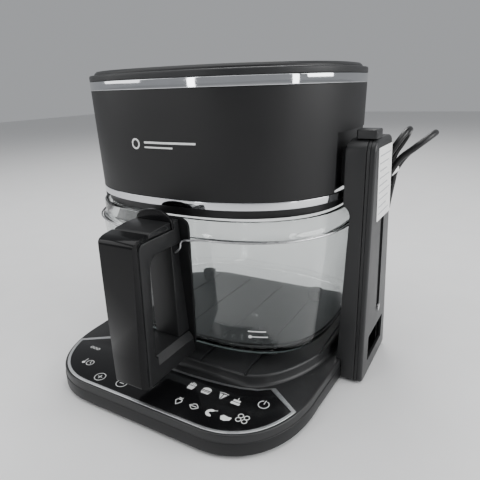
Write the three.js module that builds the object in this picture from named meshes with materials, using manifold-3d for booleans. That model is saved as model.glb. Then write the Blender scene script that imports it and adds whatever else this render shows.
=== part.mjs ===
// Countertop air fryer with a clear glass bowl that slides out under a heating head.
// Millimetres, +Z up, the front is -Y. The origin is the middle of the footprint, on the table.
import * as THREE from "three";
import { mergeVertices } from "three/addons/utils/BufferGeometryUtils.js";
import Module from "manifold-3d";

const wasm = await Module();
wasm.setup();

// Driving dimensions
const GAP = 0.3; // clearance between touching pieces
const SHELL = 2.6; // moulded wall
const HALF_WIDTH = 125.8; // head, at its widest
const OVAL = { y: 28.6, ratio: 0.842, power: 2.45, ringPower: 2.65, footPower: 3.2, segments: 48 };

const BASE = {
  halfWidth: 129, front: -137, rear: 141, bottom: 3, parting: 14.8, top: 21.8,
  cornerX: 58, cornerY: -51, rearCorner: 60,
};
const PANEL = { edge: 2.8, border: 2.4, sideY: -81.7, cornerX: 93.4, cornerY: -65.2, middleY: -82.4 };
const SEAT = { halfWidth: 118, front: -73.6, rear: 112, cornerX: 66, top: 32.3, fillet: 2.2 };
const SLIDE_GROOVES = [-114, -68.4, -22.8, 22.8, 68.4, 114];
const FEET = [[-95, -88], [95, -88], [-95, 112], [95, 112]];
const BASE_SCREWS = [[-104, -48], [104, -48], [-84, 124], [84, 124]];

const HEAD = {
  skirt: 167, lowerBand: 174.1, body: 180.5, upperBand: 265.4, cap: 272.8, capTop: 277.8, top: 281.3,
  taper: 0.022, lidInset: 4.6,
};
const RECESS = { x: 117, front: -8.5, rear: 84, top: 229 };
const DUCT = { halfWidth: 111, bottom: 181, top: 226 };
const FAN = { z: 206, radius: 52, hub: 11, blades: 8 };
const MOTOR = { radius: 27, bottom: 232, top: 257 };

const COLUMN = {
  inner: 124.7, seam: 141.4, outer: 148.9, front: 0.6, top: 222.6, bottom: 1.2,
  rearTop: 56.4, rearBottom: 86, round: 12.5, cavity: 133,
};
const WINDOW = { y0: 17.2, y1: 68.6, z0: 16.7, z1: 42.2 };
const CHANNEL = { top: [38.4, 149], bottom: [44.6, 66], radius: 5.6, depth: 1.4 };
const LUG = { x0: 131, x1: 147.8, y0: 6.4, y1: 24.4, height: 7.4 };
const COVER_SCREW = [45.4, 60.4];
const HEAD_SCREW = [30, 198];
const LABEL = [[9.5, 215.6], [16.4, 153], [64, 152], [55, 215.2]];

const BOWL = { foot: 45.1, footWidth: 116.6, ring: 150.2, ringWidth: 126.7, rim: 165.9, wall: 3.6 };
const BOWL_FEET = [[-72, -32], [72, -32], [-72, 88], [72, 88]];
const WIRE = { radius: 0.8, clear: 0.3 };

const GRIP = {
  halfWidth: 17.5, frontTop: -136.4, frontBottom: -139.9, top: 164.6, bottom: 41.5, cover: 5.5, nose: 10,
};
const BRACKET = {
  halfWidth: 26, halfFoot: 17, bottom: 47.5, top: 167.6, rearBottom: -69.4, rearTop: -79.9, plate: 2.3,
};
const HANDLE_SCREW_Y = -104;
const TAB = { halfWidth: 18.6, y: -91.2, thickness: 2.6, base: 163, height: 12.9 };

const CORD = { diameter: 6.2, gauge: 6.8, exitX: 134, exitZ: 85 };
const PLUG = { x: 116.5, y: 112, pins: 48, bottom: 66, top: 99.4 };
const HANK = { y: 117, z: 186, halfSpan: 20, below: 45, lean: 7 };
const TURNS = [
  { x: 137.6, tilt: 50, above: 29 },
  { x: 130.8, tilt: 31, above: 20 },
  { x: 124, tilt: 10, above: 4 },
];

// Finishes
const finish = (color, roughness, metalness = 0) => ({ color, roughness, metalness });
const BLACK = finish(0x17181a, 0.55);
const MATTE = finish(0x232426, 0.7);
const GLOSS = finish(0x0b0b0c, 0.12);
const RUBBER = finish(0x151515, 0.9);
const CHROME = finish(0xd8dadd, 0.08, 1);
const STEEL = finish(0xb4b6b8, 0.35, 1);
const SILVER = finish(0xc9cbcc, 0.3, 0.8);
const BOARD = finish(0x1f5a34, 0.6);
const WHITE = finish(0xf2f2ef, 0.8);
const COPPER = finish(0xa65f2c, 0.4, 0.8);

const part = new THREE.Group();

function add(name, geometry, look, options = {}) {
  const material = new THREE.MeshStandardMaterial({ ...look, ...options });
  const mesh = new THREE.Mesh(geometry, material);
  mesh.name = name;
  part.add(mesh);
}

// Closed geometry with only positions, merged, faces outwards
function closed(source) {
  const bare = source.clone();
  bare.deleteAttribute("normal");
  bare.deleteAttribute("uv");
  const merged = mergeVertices(bare, 1e-4);
  const p = merged.attributes.position;
  const index = merged.index.array;
  const [a, b, c] = [new THREE.Vector3(), new THREE.Vector3(), new THREE.Vector3()];
  let volume = 0;
  for (let i = 0; i < index.length; i += 3) {
    a.fromBufferAttribute(p, index[i]);
    b.fromBufferAttribute(p, index[i + 1]);
    c.fromBufferAttribute(p, index[i + 2]);
    volume += a.dot(b.cross(c));
  }
  if (volume < 0) {
    for (let i = 0; i < index.length; i += 3) {
      [index[i], index[i + 1]] = [index[i + 1], index[i]];
    }
  }
  return merged;
}

function solid(geometry) {
  const g = closed(geometry);
  return new wasm.Manifold(new wasm.Mesh({
    numProp: 3,
    vertProperties: Float32Array.from(g.attributes.position.array),
    triVerts: Uint32Array.from(g.index.array),
  }));
}

function geometryOf(manifold) {
  const mesh = manifold.getMesh();
  const g = new THREE.BufferGeometry();
  g.setAttribute("position", new THREE.BufferAttribute(mesh.vertProperties, 3));
  g.setIndex(new THREE.BufferAttribute(mesh.triVerts, 1));
  return g;
}

const join = (...pieces) => geometryOf(pieces.map(solid).reduce((a, b) => a.add(b)));
const cut = (body, ...tools) => geometryOf(tools.reduce((a, t) => a.subtract(solid(t)), solid(body)));
const common = (a, b) => geometryOf(solid(a).intersect(solid(b)));

// Basic forms
function block(x0, x1, y0, y1, z0, z1) {
  const box = new THREE.BoxGeometry(x1 - x0, y1 - y0, z1 - z0);
  return box.translate((x0 + x1) / 2, (y0 + y1) / 2, (z0 + z1) / 2);
}

function rod(radius, from, to, sides = 20, endRadius = radius) {
  const a = new THREE.Vector3(...from);
  const b = new THREE.Vector3(...to);
  const cylinder = new THREE.CylinderGeometry(endRadius, radius, a.distanceTo(b), sides);
  const turn = new THREE.Quaternion().setFromUnitVectors(
    new THREE.Vector3(0, 1, 0),
    b.clone().sub(a).normalize(),
  );
  cylinder.applyQuaternion(turn);
  return cylinder.translate((a.x + b.x) / 2, (a.y + b.y) / 2, (a.z + b.z) / 2);
}

const shapeOf = (points) => new THREE.Shape(points.map(([x, y]) => new THREE.Vector2(x, y)));

const AXES = {
  z: [new THREE.Vector3(1, 0, 0), new THREE.Vector3(0, 1, 0), new THREE.Vector3(0, 0, 1)],
  x: [new THREE.Vector3(0, 1, 0), new THREE.Vector3(0, 0, 1), new THREE.Vector3(1, 0, 0)],
  y: [new THREE.Vector3(-1, 0, 0), new THREE.Vector3(0, 0, 1), new THREE.Vector3(0, 1, 0)],
};

// An outline pushed along one axis from low to high: (x, y) along z, (y, z) along x, (-x, z) along y
function extrude(points, axis, low, high, bevel = 0, holes = []) {
  const shape = shapeOf(points);
  shape.holes = holes.map((hole) => new THREE.Path(hole.map(([x, y]) => new THREE.Vector2(x, y))));
  const body = new THREE.ExtrudeGeometry(shape, {
    depth: high - low - 2 * bevel,
    bevelEnabled: bevel > 0,
    bevelSize: bevel,
    bevelThickness: bevel,
    bevelOffset: -bevel,
    bevelSegments: 1,
    steps: 1,
  });
  body.translate(0, 0, low + bevel);
  return body.applyMatrix4(new THREE.Matrix4().makeBasis(...AXES[axis]));
}

// A lathe turned about the head's axis, then squared into an oval plan; the bowl's is squarer
function oval(profile, powerAt = () => OVAL.power) {
  const points = profile.map(([r, z]) => new THREE.Vector2(r, z));
  const lathe = new THREE.LatheGeometry(points, OVAL.segments).rotateX(Math.PI / 2);
  const p = lathe.attributes.position;
  for (let i = 0; i < p.count; i++) {
    const radius = Math.hypot(p.getX(i), p.getY(i));
    if (radius < 1e-9) {
      p.setXYZ(i, 0, OVAL.y, p.getZ(i));
      continue;
    }
    const c = p.getX(i) / radius;
    const s = p.getY(i) / radius;
    const power = powerAt(p.getZ(i));
    const reach = radius / (Math.abs(c) ** power + Math.abs(s) ** power) ** (1 / power);
    p.setXYZ(i, reach * c, OVAL.y + reach * s * OVAL.ratio, p.getZ(i));
  }
  return lathe;
}

function turned(profile, sides = 40) {
  const points = profile.map(([r, z]) => new THREE.Vector2(r, z));
  const lathe = new THREE.LatheGeometry(points, sides).rotateX(Math.PI / 2);
  return lathe.translate(0, OVAL.y, 0);
}

// A quarter of a superellipse, from the +X end round to the -Y end
function quarter(cx, cy, rx, ry, power = 2, steps = 8) {
  return Array.from({ length: steps + 1 }, (_, i) => {
    const t = (i / steps) * (Math.PI / 2);
    return [cx + rx * Math.cos(t) ** (2 / power), cy - ry * Math.sin(t) ** (2 / power)];
  });
}

const mirrored = (points) => points.map(([x, y]) => [-x, y]).reverse();

// Every vertex moved inwards by d; the outline runs clockwise
function inset(points, d) {
  return points.map((point, i) => {
    const before = points[(i + points.length - 1) % points.length];
    const after = points[(i + 1) % points.length];
    const n1 = normal(before, point);
    const n2 = normal(point, after);
    const k = d / (1 + n1[0] * n2[0] + n1[1] * n2[1]);
    return [point[0] + (n1[0] + n2[0]) * k, point[1] + (n1[1] + n2[1]) * k];
  });
}

function normal([x0, y0], [x1, y1]) {
  const length = Math.hypot(x1 - x0, y1 - y0);
  return [(y1 - y0) / length, -(x1 - x0) / length];
}

// Corners of a polygon rounded; each point is [x, y, radius]
function rounded(points, steps = 3) {
  return points.flatMap(([x, y, r = 0], i) => {
    if (!r) return [[x, y]];
    const [bx, by] = points[(i + points.length - 1) % points.length];
    const [ax, ay] = points[(i + 1) % points.length];
    const [lb, la] = [Math.hypot(bx - x, by - y), Math.hypot(ax - x, ay - y)];
    const start = [x + ((bx - x) / lb) * r, y + ((by - y) / lb) * r];
    const end = [x + ((ax - x) / la) * r, y + ((ay - y) / la) * r];
    return Array.from({ length: steps + 1 }, (_, k) => {
      const t = k / steps;
      const [u, v, w] = [(1 - t) ** 2, 2 * t * (1 - t), t ** 2];
      return [u * start[0] + v * x + w * end[0], u * start[1] + v * y + w * end[1]];
    });
  });
}

// A constant round section swept along a smooth curve
function tube(points, radius, steps, sides = 8) {
  const section = Array.from({ length: sides }, (_, i) => {
    const a = (i / sides) * 2 * Math.PI;
    return [radius * Math.cos(a), radius * Math.sin(a)];
  });
  const curve = new THREE.CatmullRomCurve3(points.map((p) => new THREE.Vector3(...p)), false, "centripetal");
  return new THREE.ExtrudeGeometry(shapeOf(section), { steps, extrudePath: curve, bevelEnabled: false });
}

// Base: an outline that is flat in front, with full corners
function baseFront(insetBy = 0, steps = 10) {
  const rx = BASE.halfWidth - 2.5 - BASE.cornerX - insetBy;
  const ry = BASE.cornerY - BASE.front - insetBy;
  return quarter(BASE.cornerX, BASE.cornerY, rx, ry, 2.3, steps);
}

function baseOutline() {
  const side = BASE.halfWidth;
  const rear = quarter(side - BASE.rearCorner, 0, BASE.rearCorner, BASE.rearCorner)
    .map(([x, y]) => [x, BASE.rear - BASE.rearCorner - y])
    .reverse();
  const right = [...rear, [side, 0], ...baseFront()];
  return [...right, ...mirrored(right)];
}

function panelOutline(border) {
  const front = baseFront(PANEL.edge + border, 14).filter(([, y]) => y < PANEL.sideY - border);
  const back = [
    [PANEL.cornerX - 1.2 * border, PANEL.cornerY - 1.4 * border],
    [81.1, -73 - border],
    [66.8, -77.5 - border],
    [50.9, -79.9 - border],
    [32.9, -81.5 - border],
    [15.9, PANEL.middleY - border],
  ];
  return [...back.toReversed(), ...front, ...mirrored([...back.toReversed(), ...front])];
}

function seatOutline() {
  const rx = SEAT.halfWidth - SEAT.cornerX;
  const front = quarter(SEAT.cornerX, 20, rx, 20 - SEAT.front, 1.8);
  const rear = quarter(SEAT.cornerX, 0, rx, 46).map(([x, y]) => [x, SEAT.rear - 46 - y]).reverse();
  const right = [...rear, ...front];
  return [...right, ...mirrored(right)];
}

function makeBase() {
  const outline = baseOutline();
  const bosses = BASE_SCREWS.map(([x, y]) => rod(4.5, [x, y, 8], [x, y, BASE.top - SHELL + 0.2], 16));
  const pilots = BASE_SCREWS.map(([x, y]) => rod(2, [x, y, 7], [x, y, 17.5], 12));
  const pocket = extrude(inset(panelOutline(0), -GAP), "z", BASE.top - 1.2, BASE.top + 1);
  const skin = cut(
    extrude(outline, "z", BASE.parting + 0.2 - 3, BASE.top, 1.2),
    block(-200, 200, -200, 200, 0, BASE.parting + 0.2),
    extrude(inset(outline, SHELL), "z", 0, BASE.top - SHELL),
    pocket,
  );
  add("base_cover", cut(join(skin, ...bosses), ...pilots), BLACK);

  const counterbores = BASE_SCREWS.flatMap(([x, y]) => [
    rod(2.1, [x, y, 0], [x, y, 8], 12),
    rod(4, [x, y, 0], [x, y, 4.2], 16),
  ]);
  const tray = cut(
    extrude(inset(outline, 0.5), "z", BASE.bottom, BASE.parting - 0.1, 0.8),
    extrude(inset(outline, 0.5 + SHELL), "z", BASE.bottom + SHELL, BASE.parting + 1),
    ...counterbores,
  );
  add("base_tray", tray, BLACK);

  BASE_SCREWS.forEach(([x, y], i) => {
    const screw = join(rod(3.6, [x, y, 2.4], [x, y, 4], 16), rod(1.7, [x, y, 3.9], [x, y, 17], 10));
    add(`base_screw_${i + 1}`, screw, STEEL);
  });
  FEET.forEach(([x, y], i) => {
    add(`rubber_foot_${i + 1}`, rod(9, [x, y, 0], [x, y, BASE.bottom - GAP], 24, 8.4), RUBBER);
  });

  const glass = extrude(inset(panelOutline(PANEL.border), GAP), "z", BASE.top - 0.9, BASE.top + 0.4, 0.3);
  add("touch_panel", glass, GLOSS);
  const trim = cut(
    extrude(panelOutline(0), "z", BASE.top - 0.9, BASE.top + 0.4),
    extrude(panelOutline(PANEL.border), "z", BASE.top - 2, BASE.top + 2),
  );
  add("panel_trim", trim, SILVER);
  const chip = block(-12, 12, -110, -96, 14.6, 16.3);
  add("touch_board", join(block(-78, 78, -124, -88, 16.2, 17.8), chip), BOARD);

  const grooves = SLIDE_GROOVES.map((x) => block(x - 1.5, x + 1.5, -200, 200, SEAT.top - 1.2, SEAT.top + 1));
  const seat = cut(
    extrude(inset(seatOutline(), -SEAT.fillet), "z", BASE.top - 6, SEAT.top, SEAT.fillet),
    block(-200, 200, -200, 200, 0, BASE.top + GAP),
    extrude(inset(seatOutline(), SHELL), "z", 0, SEAT.top - 3.4),
    ...grooves,
  );
  add("seat_platform", seat, BLACK);
}

// Columns: their outline from the side, and the two pieces of each one
function columnSide(insetBy = 0) {
  const slope = (COLUMN.rearBottom - COLUMN.rearTop) / COLUMN.top;
  const rearAt = (z) => COLUMN.rearTop + slope * (COLUMN.top - z) - insetBy;
  const [low, high] = [COLUMN.bottom + insetBy, COLUMN.top - insetBy];
  return rounded([
    [COLUMN.front + insetBy, low, 6],
    [COLUMN.front + insetBy, high, COLUMN.round],
    [rearAt(high), high, 9],
    [rearAt(low), low, 6],
  ]);
}

function innerFace() {
  return rounded([
    [COLUMN.seam, COLUMN.bottom - 1],
    [COLUMN.seam, COLUMN.top + 1],
    [COLUMN.inner, COLUMN.top + 1, COLUMN.round],
    [COLUMN.inner, 169],
    [130.6, 164, 5],
    [126.4, 64],
    [COLUMN.inner + 0.3, BASE.top + GAP],
    [BASE.halfWidth + GAP, BASE.top + GAP],
    [BASE.halfWidth + GAP, COLUMN.bottom - 1],
  ]);
}

const across = (points, side) => points.map(([x, z]) => [-side * x, z]);
const span = (side, a, b) => (side > 0 ? [a, b] : [-b, -a]);

function makeColumn(side, name) {
  const [x0, x1] = span(side, 118, COLUMN.seam);
  const envelope = extrude(columnSide(), "x", x0, x1);
  const [c0, c1] = span(side, COLUMN.cavity, COLUMN.seam + 1);
  const tongue = block(...span(side, RECESS.x + 2, 130), 10, 54, HEAD.body + 3, 214);
  const face = common(extrude(across(innerFace(), side), "y", -5, 100), envelope);
  const frame = cut(
    join(face, tongue),
    extrude(columnSide(SHELL), "x", c0, c1),
    rod(2.2, [side * 115, ...HEAD_SCREW], [side * 140, ...HEAD_SCREW], 12),
  );
  add(`column_frame_${name}`, frame, BLACK);

  const [o0, o1] = span(side, 132, COLUMN.outer);
  const [k0, k1] = span(side, COLUMN.seam + GAP, COLUMN.outer + 1);
  const [i0, i1] = span(side, COLUMN.seam - 1, COLUMN.outer - 2.2);
  const [d0, d1] = span(side, COLUMN.outer - CHANNEL.depth, COLUMN.outer + 1);
  const [w0, w1] = span(side, COLUMN.seam - 1, COLUMN.outer + 1);
  const window = rounded([
    [WINDOW.y0, WINDOW.z0, 2], [WINDOW.y0, WINDOW.z1, 2], [WINDOW.y1, WINDOW.z1, 2], [WINDOW.y1, WINDOW.z0, 2],
  ]);
  const cover = cut(
    common(
      extrude(columnSide(), "x", o0, o1, 2.4),
      block(k0, k1, -50, 150, -5, 250),
    ),
    extrude(columnSide(SHELL), "x", i0, i1),
    extrude(window, "x", w0, w1),
    extrude(channelOutline(), "x", d0, d1),
    rod(2.2, [side * 140, ...COVER_SCREW], [side * 150, ...COVER_SCREW], 12),
  );
  add(`column_cover_${name}`, cover, BLACK);

  const at = (x) => [side * x, ...COVER_SCREW];
  const head = rod(3.4, at(COLUMN.outer + 0.1), at(COLUMN.outer + 1.3), 16);
  const shank = rod(1.6, at(136), at(COLUMN.outer + 0.4), 10);
  add(`column_screw_${name}`, join(head, shank), STEEL);

  const [l0, l1] = span(side, LUG.x0, LUG.x1);
  const lug = extrude(
    [[l0, LUG.y0], [l0, LUG.y1], [l1, LUG.y1], [l1, LUG.y0]],
    "z", COLUMN.top + GAP, COLUMN.top + LUG.height, 0.8,
  );
  add(`head_lug_${name}`, lug, BLACK);

  const pin = [
    rod(1.8, [side * 113.2, ...HEAD_SCREW], [side * 131, ...HEAD_SCREW], 10),
    rod(3.6, [side * 111.6, ...HEAD_SCREW], [side * 113.4, ...HEAD_SCREW], 14),
  ];
  add(`head_screw_${name}`, join(...pin), STEEL);
}

function channelOutline() {
  const { top, bottom, radius } = CHANNEL;
  const cap = (centre, from) => Array.from({ length: 9 }, (_, i) => {
    const a = from + (i / 8) * Math.PI;
    return [centre[0] + radius * Math.cos(a), centre[1] + radius * Math.sin(a)];
  });
  return [...cap(top, 0), ...cap(bottom, Math.PI)];
}

function makeColumns() {
  makeColumn(-1, "left");
  makeColumn(1, "right");
  add("rating_label", extrude(LABEL, "x", COLUMN.outer + 0.1, COLUMN.outer + 0.4), WHITE);
  const harness = [[137, 30, 60], [137, 24, 90], [137, 22, 130], [137, 26, 170], [137, 30, 205]];
  add("wiring_harness", tube(harness, 2.6, 14), RUBBER);
}

// Head: rings and shells on the shared oval plan
const wallAt = (z) => HALF_WIDTH - (HEAD.upperBand - z) * HEAD.taper;

function ringBetween(low, high, thickness, proud = 0) {
  return [
    [wallAt(low) - thickness, low],
    [wallAt(low) + proud, low],
    [wallAt(high) + proud, high],
    [wallAt(high) - thickness, high],
    [wallAt(low) - thickness, low],
  ];
}

function makeHead() {
  const [low, high] = [HEAD.body + GAP, HEAD.upperBand - GAP];
  const shell = oval(ringBetween(low, high, SHELL));
  const core = oval([[0, low], [wallAt(low), low], [wallAt(high), high], [0, high]]);
  const liners = [-1, 1].map((side) => {
    const [x0, x1] = span(side, RECESS.x - SHELL, 140);
    const wall = block(x0, x1, RECESS.front - SHELL, RECESS.rear + SHELL, low, RECESS.top + SHELL);
    return common(wall, core);
  });
  const recesses = [-1, 1].map((side) => {
    const [x0, x1] = span(side, RECESS.x, 150);
    return block(x0, x1, RECESS.front, RECESS.rear, 100, RECESS.top);
  });
  const holes = [-1, 1].map((side) => rod(2.2, [side * 110, ...HEAD_SCREW], [side * 125, ...HEAD_SCREW], 12));
  add("head_body", cut(join(shell, ...liners), ...recesses, ...holes), MATTE);

  add("lower_band", oval(ringBetween(HEAD.lowerBand + GAP, HEAD.body, 2.2, 0.3)), CHROME);
  add("upper_band", oval(ringBetween(HEAD.upperBand, HEAD.cap - GAP, 2.2, 0.3)), CHROME);
  const skirt = [[117.2, HEAD.skirt], [120.2, HEAD.skirt], [120.9, HEAD.lowerBand], [117.2, HEAD.lowerBand]];
  add("head_skirt", oval([...skirt, skirt[0]]), BLACK);

  const lidWidth = HALF_WIDTH - HEAD.lidInset;
  const rim = [
    [lidWidth + GAP, HEAD.cap], [HALF_WIDTH + 0.2, HEAD.cap], [HALF_WIDTH + 0.2, HEAD.capTop - 1.6],
    [HALF_WIDTH - 1.2, HEAD.capTop], [lidWidth + GAP, HEAD.capTop],
  ];
  add("cap_rim", oval([...rim, rim[0]]), MATTE);
  const lid = [
    [0, HEAD.capTop + 0.8], [lidWidth - 3, HEAD.capTop + 0.8], [lidWidth - 3, HEAD.cap],
    [lidWidth, HEAD.cap], [lidWidth, HEAD.top - 2.2], [lidWidth - 2.4, HEAD.top], [0, HEAD.top],
  ];
  add("head_lid", oval(lid), BLACK);

  const duct = [
    [14, DUCT.top - 1.5], [DUCT.halfWidth - 1.5, DUCT.top - 1.5], [DUCT.halfWidth - 1.5, DUCT.bottom],
    [DUCT.halfWidth, DUCT.bottom], [DUCT.halfWidth, DUCT.top], [14, DUCT.top],
  ];
  add("air_duct", oval([...duct, duct[0]]), STEEL);
  const reflector = [[16, 220], [80, 220], [88, 214], [89, 214], [81, 221.2], [16, 221.2]];
  add("heat_reflector", turned([...reflector, reflector[0]]), STEEL);
  makeHeater();
  makeFan();
  makeElectronics();
}

function makeHeater() {
  const turns = 2.4;
  const spiral = Array.from({ length: 40 }, (_, i) => {
    const t = i / 39;
    const a = t * turns * 2 * Math.PI;
    const r = 58 + 24 * t;
    return [r * Math.cos(a), OVAL.y + r * Math.sin(a), 195];
  });
  add("heater_coil", tube(spiral, 3.2, 44, 6), STEEL);

  const slots = [];
  for (const [inner, outer, count] of [[16, 44, 12], [50, 88, 24]]) {
    for (let i = 0; i < count; i++) {
      const a = ((i + 0.5) / count) * 2 * Math.PI;
      const [c, s] = [Math.cos(a), Math.sin(a)];
      const corner = (r, w) => [r * c - w * s, OVAL.y + r * s + w * c];
      slots.push([corner(inner, -2.4), corner(inner, 2.4), corner(outer, 3.6), corner(outer, -3.6)]);
    }
  }
  const disc = Array.from({ length: 48 }, (_, i) => {
    const a = (i / 48) * 2 * Math.PI;
    return [92 * Math.cos(a), OVAL.y + 92 * Math.sin(a)];
  });
  add("heater_guard", extrude(disc, "z", 182, 183.4, 0, slots), STEEL);
}

function makeFan() {
  const blades = Array.from({ length: FAN.blades }, (_, i) => {
    const blade = new THREE.BoxGeometry(FAN.radius - FAN.hub + 3, 1.2, 11);
    blade.rotateX(0.6).translate((FAN.radius + FAN.hub) / 2, 0, 0);
    blade.rotateZ((i / FAN.blades) * 2 * Math.PI);
    return blade.translate(0, OVAL.y, FAN.z);
  });
  const hub = cut(
    rod(FAN.hub, [0, OVAL.y, FAN.z - 6], [0, OVAL.y, FAN.z + 6], 24),
    rod(3.3, [0, OVAL.y, FAN.z - 3], [0, OVAL.y, FAN.z + 9], 16),
  );
  add("fan_blade", join(hub, ...blades), STEEL);
  add("motor_shaft", rod(3, [0, OVAL.y, FAN.z - 2.6], [0, OVAL.y, MOTOR.bottom + 12], 16), STEEL);
  const bore = rod(3.4, [0, OVAL.y, MOTOR.bottom - 6], [0, OVAL.y, MOTOR.bottom + 13], 16);
  const can = join(
    rod(MOTOR.radius, [0, OVAL.y, MOTOR.bottom], [0, OVAL.y, MOTOR.top], 32),
    rod(9, [0, OVAL.y, MOTOR.bottom - 4], [0, OVAL.y, MOTOR.bottom + 1], 20),
  );
  add("fan_motor", cut(can, bore), STEEL);
  const bridge = extrude(
    rounded([[-64, OVAL.y - 16, 6], [-64, OVAL.y + 16, 6], [64, OVAL.y + 16, 6], [64, OVAL.y - 16, 6]]),
    "z", DUCT.top + GAP, DUCT.top + 1.5,
  );
  add("motor_bracket", cut(bridge, rod(14, [0, OVAL.y, 220], [0, OVAL.y, 235], 24)), STEEL);
}

function makeElectronics() {
  const board = block(50, 100, 50, 84, 238, 239.6);
  const capacitor = rod(7, [64, 62, 239], [64, 62, 256], 16);
  const relay = block(76, 92, 60, 74, 239, 252);
  add("power_board", join(board, capacitor, relay), BOARD);
  add("temperature_probe", rod(1.8, [-104, OVAL.y, 190], [-86, OVAL.y, 190], 12), COPPER);
}

// Bowl drawer
function makeBowl() {
  const { foot, footWidth, ring, ringWidth, rim, wall } = BOWL;
  const profile = [
    [0, foot], [footWidth - 12, foot], [footWidth - 5, foot + 1.6], [footWidth - 1.2, foot + 5.4],
    [footWidth, foot + 11], [ringWidth - 0.5, ring - 1.8], [ringWidth, ring], [ringWidth - 1.5, ring + 1.8],
    [ringWidth - 3.2, ring + 4.4], [ringWidth - 3.5, rim - 1.4], [ringWidth - 4.3, rim],
    [ringWidth - 6.2, rim], [ringWidth - 7.1, rim - 1.4], [ringWidth - 6.6, ring + 3.6],
    [ringWidth - 4.2, ring - 0.6], [footWidth - wall, foot + 12.6], [footWidth - wall - 2.6, foot + 7.4],
    [footWidth - wall - 9, foot + 4.2], [0, foot + 4.2],
  ];
  const powerAt = (z) => {
    const rise = Math.min(Math.max((z - foot) / (ring - foot), 0), 1);
    return OVAL.footPower + (OVAL.ringPower - OVAL.footPower) * rise;
  };
  const glass = finish(0xcfd8d6, 0.05);
  add("glass_bowl", oval(profile, powerAt), glass, { transparent: true, opacity: 0.35 });
  BOWL_FEET.forEach(([x, y], i) => {
    add(`bowl_foot_${i + 1}`, rod(7, [x, y, SEAT.top + GAP], [x, y, foot - GAP], 20, 8), RUBBER);
  });
  makeHoop();
}

// The wire runs round the step of the bowl, over the bracket, and hooks down beside the handle
function makeHoop() {
  const reach = BOWL.ringWidth + WIRE.clear + WIRE.radius + 0.1;
  const z = BOWL.ring;
  const gap = 0.27;
  const around = Array.from({ length: 49 }, (_, i) => {
    const a = -Math.PI / 2 - gap - (i / 48) * 2 * (Math.PI - gap);
    const c = Math.cos(a);
    const s = Math.sin(a);
    const power = OVAL.ringPower;
    const k = reach / (Math.abs(c) ** power + Math.abs(s) ** power) ** (1 / power);
    return [k * c, OVAL.y + k * s * OVAL.ratio, z];
  });
  const hook = [
    [13.8, -85.8, z - 11], [16, -85.6, z - 9.6], [18.7, -85.2, z - 6.5],
    [19.3, -84.6, z - 2.5], [21.5, -83.8, z - 0.2], [26, -82.7, z],
  ];
  const path = [...hook.map(([x, y, h]) => [-x, y, h]), ...around, ...hook.toReversed()];
  add("hoop_wire", tube(path, WIRE.radius, 76, 6), STEEL);
}

// Handle: a C-shaped loop, its front and top covers, the thumb tab and the bracket on the glass
function makeHandle() {
  const w = GRIP.halfWidth;
  const back = BRACKET.rearTop - BRACKET.plate - 0.4;
  const loop = rounded([
    [GRIP.frontBottom + GRIP.cover + GAP, GRIP.bottom, 2],
    [GRIP.frontTop + GRIP.cover + GAP, 156.5, 4],
    [-127, 160],
    [TAB.y + 1.7, 160.6],
    [TAB.y + 1.7, 166.6],
    [back, 167],
    [back + 1.6, 147],
    [-119.6, 147, 10],
    [-125, 61.5, 7],
    [-74.6, 61.5],
    [-72.6, 47],
    [-72.2, GRIP.bottom],
  ]);
  const chamfers = [-1, 1].map((side) => {
    const wedge = [[side * (w - 4.4), 61.7], [side * (w + 0.5), 54.6], [side * (w + 0.5), 61.7]];
    return extrude(wedge.map(([x, z]) => [-x, z]), "y", -121.5, -70);
  });
  const screwAt = (z) => [0, HANDLE_SCREW_Y, z];
  const screwHole = rod(1.9, screwAt(140), screwAt(165), 12);
  const counterbore = rod(3.6, screwAt(146), screwAt(150), 14);
  add("handle_body", cut(extrude(loop, "x", -w, w, 1.2), ...chamfers, screwHole, counterbore), BLACK);

  const front = rounded([
    [GRIP.frontBottom, GRIP.bottom, 3],
    [-139.6, 66],
    [GRIP.frontTop, 161, 3],
    [-130.5, GRIP.top - 0.6, 3],
    [-120.4, GRIP.top + 0.6],
    [-120.4, 160.8],
    [-127.3, 160.4],
    [GRIP.frontTop + GRIP.cover, 157, 2],
    [GRIP.frontBottom + GRIP.cover, GRIP.bottom],
  ]);
  const nose = [[-w, GRIP.frontBottom - 1, GRIP.nose], [w, GRIP.frontBottom - 1, GRIP.nose]];
  const plan = rounded([[-w, -100], ...nose, [w, -100]], 5);
  add("grip_front", common(extrude(front, "x", -w, w), extrude(plan, "z", 0, 200)), GLOSS);

  const top = rounded([
    [-120, 161.2], [-118.6, 165.4, 2], [-106, 167.2, 6], [TAB.y - 1.7, 167.2], [TAB.y - 1.7, 161],
  ]);
  const pilot = rod(1.9, screwAt(155), screwAt(165.4), 12);
  add("handle_top", cut(extrude(top, "x", -w, w, 1.2), pilot), BLACK);
  const screw = join(rod(3.2, screwAt(147.4), screwAt(149.6), 14), rod(1.6, screwAt(149), screwAt(165), 10));
  add("handle_screw", screw, STEEL);

  const arch = Array.from({ length: 17 }, (_, i) => {
    const a = (i / 16) * Math.PI;
    return [TAB.halfWidth * Math.cos(a), TAB.base + TAB.height * Math.sin(a) ** 0.8];
  });
  const tab = [...arch, [-TAB.halfWidth, 161.2], [TAB.halfWidth, 161.2]];
  const half = TAB.thickness / 2;
  add("thumb_tab", extrude(tab, "y", TAB.y - half, TAB.y + half, 0.6), GLOSS);
  makeBracket();
}

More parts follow.
